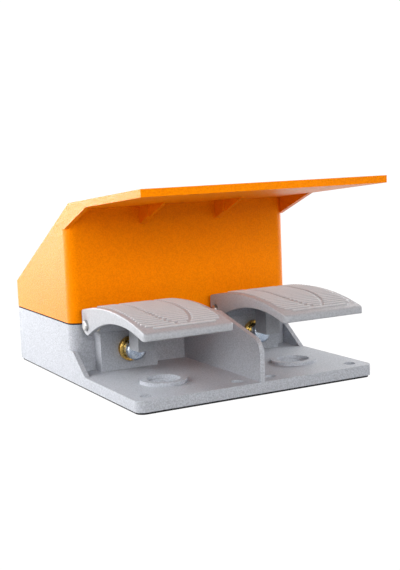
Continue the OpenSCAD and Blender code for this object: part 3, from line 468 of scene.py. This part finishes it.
def pedal_section(y, front, rear):
    """The closed cross-section at a place y: up the left side, over the ribs, down the right and back inside."""
    d = y - front
    half = PEDAL_HALF - circle_drop(CORNER_ROUND, d)
    top = tread_top(y) - circle_drop(LIP_ROUND, d) - circle_drop(REAR_ROUND, rear - y)
    foot = flange_foot(y) + circle_drop(LIP_UNDER_ROUND, d)
    solid = d < LIP_DEPTH
    points = []
    edge_r = min(SIDE_ROUND, (top - foot) / 2)
    foot_r = FOOT_ROUND
    for a in range(0, 91, 30):
        r = math.radians(a)
        points.append((-half + foot_r * (1 - math.sin(r)), foot + foot_r * (1 - math.cos(r))))
    for a in range(0, 91, 18):
        r = math.radians(a)
        points.append((-half + edge_r * (1 - math.cos(r)), top - edge_r * (1 - math.sin(r))))
    in_field = front + RIB_FRONT - 0.5 * MM < y < rear - RIB_REAR
    for i in range(1, TREAD_COLUMNS):
        x = (-half + edge_r) * (1 - 2 * i / TREAD_COLUMNS)
        lift = RIB_H * rib_shape(x, d - RIB_FRONT) if in_field else 0.0
        points.append((x, top + lift))
    outer = list(points)
    for x, z in reversed(points[:10]):
        outer.append((-x, z))
    inside = half - FLANGE_T
    roof = foot if solid else max(top - TREAD_T, foot + 0.1 * MM)
    inner_r = min(INNER_ROUND, (roof - foot) / 2)
    inner = [(inside + foot_r, foot), (inside, foot + (0 if solid else foot_r))]
    for a in range(0, 91, 30):
        r = math.radians(a)
        inner.append((inside - inner_r * (1 - math.cos(r)), roof - inner_r * (1 - math.sin(r))))
    inner += [(inside * t, roof) for t in (0.5, 0.0)]
    return outer + inner + [(-x, z) for x, z in reversed(inner[:-1])]


def lofted(bm, sections):
    """Walls between closed sections with the same number of points, and a face at each end."""
    rings = [[bm.verts.new(p) for p in section] for section in sections]
    n = len(rings[0])
    for a, b in zip(rings, rings[1:]):
        for k in range(n):
            bm.faces.new((a[k], a[(k + 1) % n], b[(k + 1) % n], b[k]))
    bm.faces.new(rings[0])
    bm.faces.new(list(reversed(rings[-1])))


def lug_outline(steps=6):
    """Side view of the lug under the tread: its lower rear edge is rounded."""
    back, depth, drop, r = 19.1 * MM, 20 * MM, 24 * MM, 3 * MM
    points = [(-back - depth, 10 * MM), (-back - depth, -drop)]
    for i in range(steps + 1):
        a = math.radians(90.0 * i / steps)
        points.append((-back - r + r * math.sin(a), -drop + r - r * math.cos(a)))
    return points + [(-back, 13 * MM)]


def drilled(ob, axis_point, radius, length):
    """Cuts a round hole along X through a finished mesh."""
    cutter = bmesh.new()
    bmesh.ops.create_cone(cutter, cap_ends=True, segments=64, radius1=radius, radius2=radius, depth=length,
                          matrix=Matrix.Translation(axis_point) @ Matrix.Rotation(math.pi / 2, 4, "Y"))
    me = bpy.data.meshes.new("drill")
    cutter.to_mesh(me)
    cutter.free()
    drill = bpy.data.objects.new("drill", me)
    bpy.context.scene.collection.objects.link(drill)
    mod = ob.modifiers.new("hole", "BOOLEAN")
    mod.operation = "DIFFERENCE"
    mod.solver = "EXACT"
    mod.object = drill
    bpy.context.view_layer.update()
    shape = ob.evaluated_get(bpy.context.evaluated_depsgraph_get())
    cut_mesh = bpy.data.meshes.new_from_object(shape)
    ob.modifiers.clear()
    ob.data = cut_mesh
    bpy.data.objects.remove(drill)


def make_pedal(side):
    node = side + "_pedal"
    pivot = Vector(JOINTS[side + "_pedal_hinge"]["pos_m"])
    low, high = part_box(node)
    front, rear = low.y - pivot.y, high.y - pivot.y
    bm = bmesh.new()
    lofted(bm, [[pivot + Vector((x, y, z)) for x, z in pedal_section(y, front, rear)]
                for y in pedal_rows(front, rear)])
    bmesh.ops.remove_doubles(bm, verts=bm.verts, dist=0.004 * MM)
    bmesh.ops.dissolve_degenerate(bm, edges=bm.edges, dist=0.002 * MM)
    # raised: share of the rib height at each point, which carries the painted highlight on the rib crests
    raised = bm.verts.layers.float.new("raised")
    for v in bm.verts:
        local = v.co - pivot
        if abs(local.x) < PEDAL_HALF - RIB_MARGIN / 2 and front < local.y < rear - RIB_REAR:
            v[raised] = min(max((local.z - tread_top(local.y)) / RIB_H, 0.0), 1.0)
    form = new_piece(node + "_form", bm, PEDAL, BODY_OF[node], node)
    drilled(form, pivot, EYE_HOLE_R, 0.2)
    for f in form.data.polygons:
        f.use_smooth = True
    add_even_normals(form)
    lug = bmesh.new()
    lofted(lug, [[pivot + Vector((x, y, z)) for y, z in lug_outline()] for x in (-LUG_HALF, LUG_HALF)])
    lug_piece = new_piece(node + "_lug", lug, PEDAL, BODY_OF[node], node)
    add_bevel(lug_piece, LUG_ROUND)
    add_even_normals(lug_piece)


PEDAL_HALF = (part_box("left_pedal")[1].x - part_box("left_pedal")[0].x) / 2
for pedal_side in SIDES:
    make_pedal(pedal_side)

# ---------------------------------------------------------------- surroundings

floor_mesh = bmesh.new()
bmesh.ops.create_grid(floor_mesh, x_segments=1, y_segments=1, size=6.0)
floor_me = bpy.data.meshes.new("floor")
floor_mesh.to_mesh(floor_me)
floor_mesh.free()
floor = bpy.data.objects.new("floor", floor_me)
bpy.context.scene.collection.objects.link(floor)
floor.location.z = -0.0004
floor_look = Mat("floor_white")
floor_look.set(Base_Color=(0.4, 0.4, 0.4, 1.0), Roughness=0.7, Specular_IOR_Level=0.2)
# strength of the white that the camera and reflections see
SEEN_WHITE = 1.05
seen_floor = floor_look.node("ShaderNodeEmission", Color=(1.0, 1.0, 1.0, 1.0), Strength=SEEN_WHITE)


def shown_to_camera(tree, seen, unseen, output):
    """The camera and mirror-like surfaces see one plain white shader, and the object's light comes from another."""
    path = tree.nodes.new("ShaderNodeLightPath")
    choose = tree.nodes.new("ShaderNodeMixShader")
    shown = path.outputs["Is Camera Ray"]
    for ray_kind in ("Is Glossy Ray", "Is Transmission Ray"):
        either = tree.nodes.new("ShaderNodeMath")
        either.operation = "MAXIMUM"
        tree.links.new(shown, either.inputs[0])
        tree.links.new(path.outputs[ray_kind], either.inputs[1])
        shown = either.outputs[0]
    tree.links.new(shown, choose.inputs["Fac"])
    tree.links.new(unseen.outputs[0], choose.inputs[1])
    tree.links.new(seen.outputs[0], choose.inputs[2])
    tree.links.new(choose.outputs[0], tree.nodes[output].inputs["Surface"])


shown_to_camera(floor_look.tree, seen_floor, floor_look.shader, "Material Output")
floor_me.materials.append(floor_look.mat)

# a white studio: the backdrop behind the object is bright, and the camera's side is dim
BACKDROP = 1.0
CAMERA_SIDE = 0.05
world = bpy.data.worlds.new("studio")
bpy.context.scene.world = world
world.use_nodes = True
sky = world.node_tree
studio = sky.nodes["Background"]
studio.inputs["Color"].default_value = (1.0, 1.0, 1.0, 1.0)
ray = sky.nodes.new("ShaderNodeTexCoord")
split = sky.nodes.new("ShaderNodeSeparateXYZ")
fade = sky.nodes.new("ShaderNodeMapRange")
for key, value in (("From Min", -0.35), ("From Max", 0.45), ("To Min", CAMERA_SIDE), ("To Max", BACKDROP)):
    fade.inputs[key].default_value = value
sky.links.new(ray.outputs["Generated"], split.inputs[0])
sky.links.new(split.outputs["Y"], fade.inputs["Value"])
sky.links.new(fade.outputs["Result"], studio.inputs["Strength"])
white = sky.nodes.new("ShaderNodeBackground")
white.inputs["Color"].default_value = (1.0, 1.0, 1.0, 1.0)
white.inputs["Strength"].default_value = SEEN_WHITE
shown_to_camera(sky, white, studio, "World Output")


def area_light(name, place, target, size, energy, colour=(1.0, 1.0, 1.0)):
    data = bpy.data.lights.new(name, "AREA")
    data.shape = "RECTANGLE"
    data.size, data.size_y = size
    data.energy = energy
    data.color = colour
    ob = bpy.data.objects.new(name, data)
    bpy.context.scene.collection.objects.link(ob)
    ob.location = place
    ob.rotation_euler = (Vector(target) - Vector(place)).to_track_quat("-Z", "Y").to_euler()
    return ob


area_light("key_left", (-1.15, 0.35, 0.62), (0.0, 0.0, 0.07), (1.0, 1.0), 18.0)
area_light("left_back", (-0.72, 1.2, 0.35), (-0.1, 0.05, 0.08), (0.7, 0.7), 12.0)
area_light("front_low", (-0.2, -1.55, 0.6), (0.0, -0.05, 0.08), (1.5, 0.45), 19.0)
area_light("right_back", (1.2, 0.35, 0.5), (0.05, -0.08, 0.03), (0.8, 0.6), 15.0)

# ---------------------------------------------------------------- camera

AZIMUTH, PITCH, ROLL = (math.radians(v) for v in (27.9, 7.32, -2.31))
forward = Vector((math.sin(AZIMUTH) * math.cos(PITCH), math.cos(AZIMUTH) * math.cos(PITCH), -math.sin(PITCH)))
right = Vector((math.cos(AZIMUTH), -math.sin(AZIMUTH), 0.0))
upward = right.cross(forward)
cam_x = right * math.cos(ROLL) + upward * math.sin(ROLL)
cam_y = upward * math.cos(ROLL) - right * math.sin(ROLL)
camera_data = bpy.data.cameras.new("camera")
camera_data.sensor_width = 36.0
camera_data.lens = 64.39
camera = bpy.data.objects.new("camera", camera_data)
bpy.context.scene.collection.objects.link(camera)
camera.matrix_world = Matrix.Translation((-0.4529, -0.8962, 0.2111)) @ Matrix(
    (cam_x, cam_y, -forward)).transposed().to_4x4()
bpy.context.scene.camera = camera
bpy.context.scene.view_settings.view_transform = "Standard"
